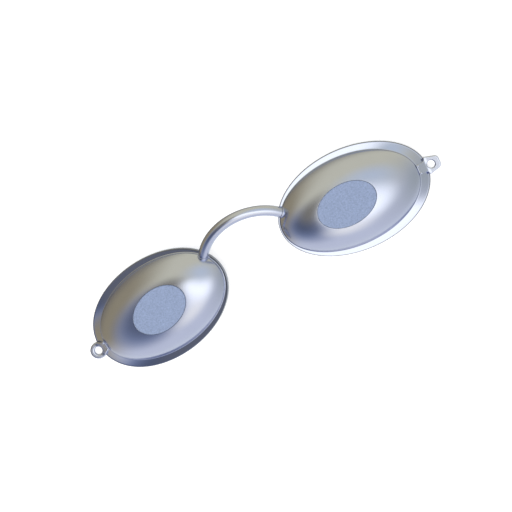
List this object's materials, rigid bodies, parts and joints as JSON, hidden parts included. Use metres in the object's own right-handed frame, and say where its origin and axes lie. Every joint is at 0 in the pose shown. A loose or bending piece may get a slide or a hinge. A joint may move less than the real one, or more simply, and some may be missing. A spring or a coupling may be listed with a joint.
{
  "type": "laser safety glasses",
  "caption": "Metal laser eye guard: polished domed cups with a frosted oval centre, joined by an arched bridge bar, with a face flange and strap lug on each.",
  "frame": {"origin": "on the surface that it lies on, under the middle of its outline", "axes": "+X across the face towards the wearer's left, +Y up towards the brows, +Z out of the face"},
  "size_m": [0.1168, 0.03, 0.0164],
  "materials": {
    "polished_bar": "polished",
    "dome_mirror": "polished with a faint satin haze",
    "flange_mirror": "polished",
    "frosted_plate": "fine bead-blasted matte",
    "bush_steel": "satin",
    "lug_steel": "satin",
    "spring_steel": "satin"
  },
  "bodies": {
    "bridge": {"bridge_bar": "polished_bar", "left_bar_clip": "spring_steel", "right_bar_clip": "spring_steel"},
    "left_cup": {"left_dome": "dome_mirror", "left_flange": "flange_mirror", "left_plate": "frosted_plate", "left_plate_ring": "spring_steel", "left_bush": "bush_steel", "left_strap_lug": "lug_steel"},
    "right_cup": {"right_dome": "dome_mirror", "right_flange": "flange_mirror", "right_plate": "frosted_plate", "right_plate_ring": "spring_steel", "right_bush": "bush_steel", "right_strap_lug": "lug_steel"}
  },
  "joints": [
    {"name": "left_swivel", "type": "hinge", "parent": "bridge", "child": "left_cup", "pos_m": [-0.01302, 0.00743, 0.01096], "axis": [0.6184, 0.653, 0.4372], "range_deg": [-15, 15]},
    {"name": "right_swivel", "type": "hinge", "parent": "bridge", "child": "right_cup", "pos_m": [0.01302, 0.00743, 0.01096], "axis": [0.6184, -0.653, -0.4372], "range_deg": [-15, 15]}
  ]
}
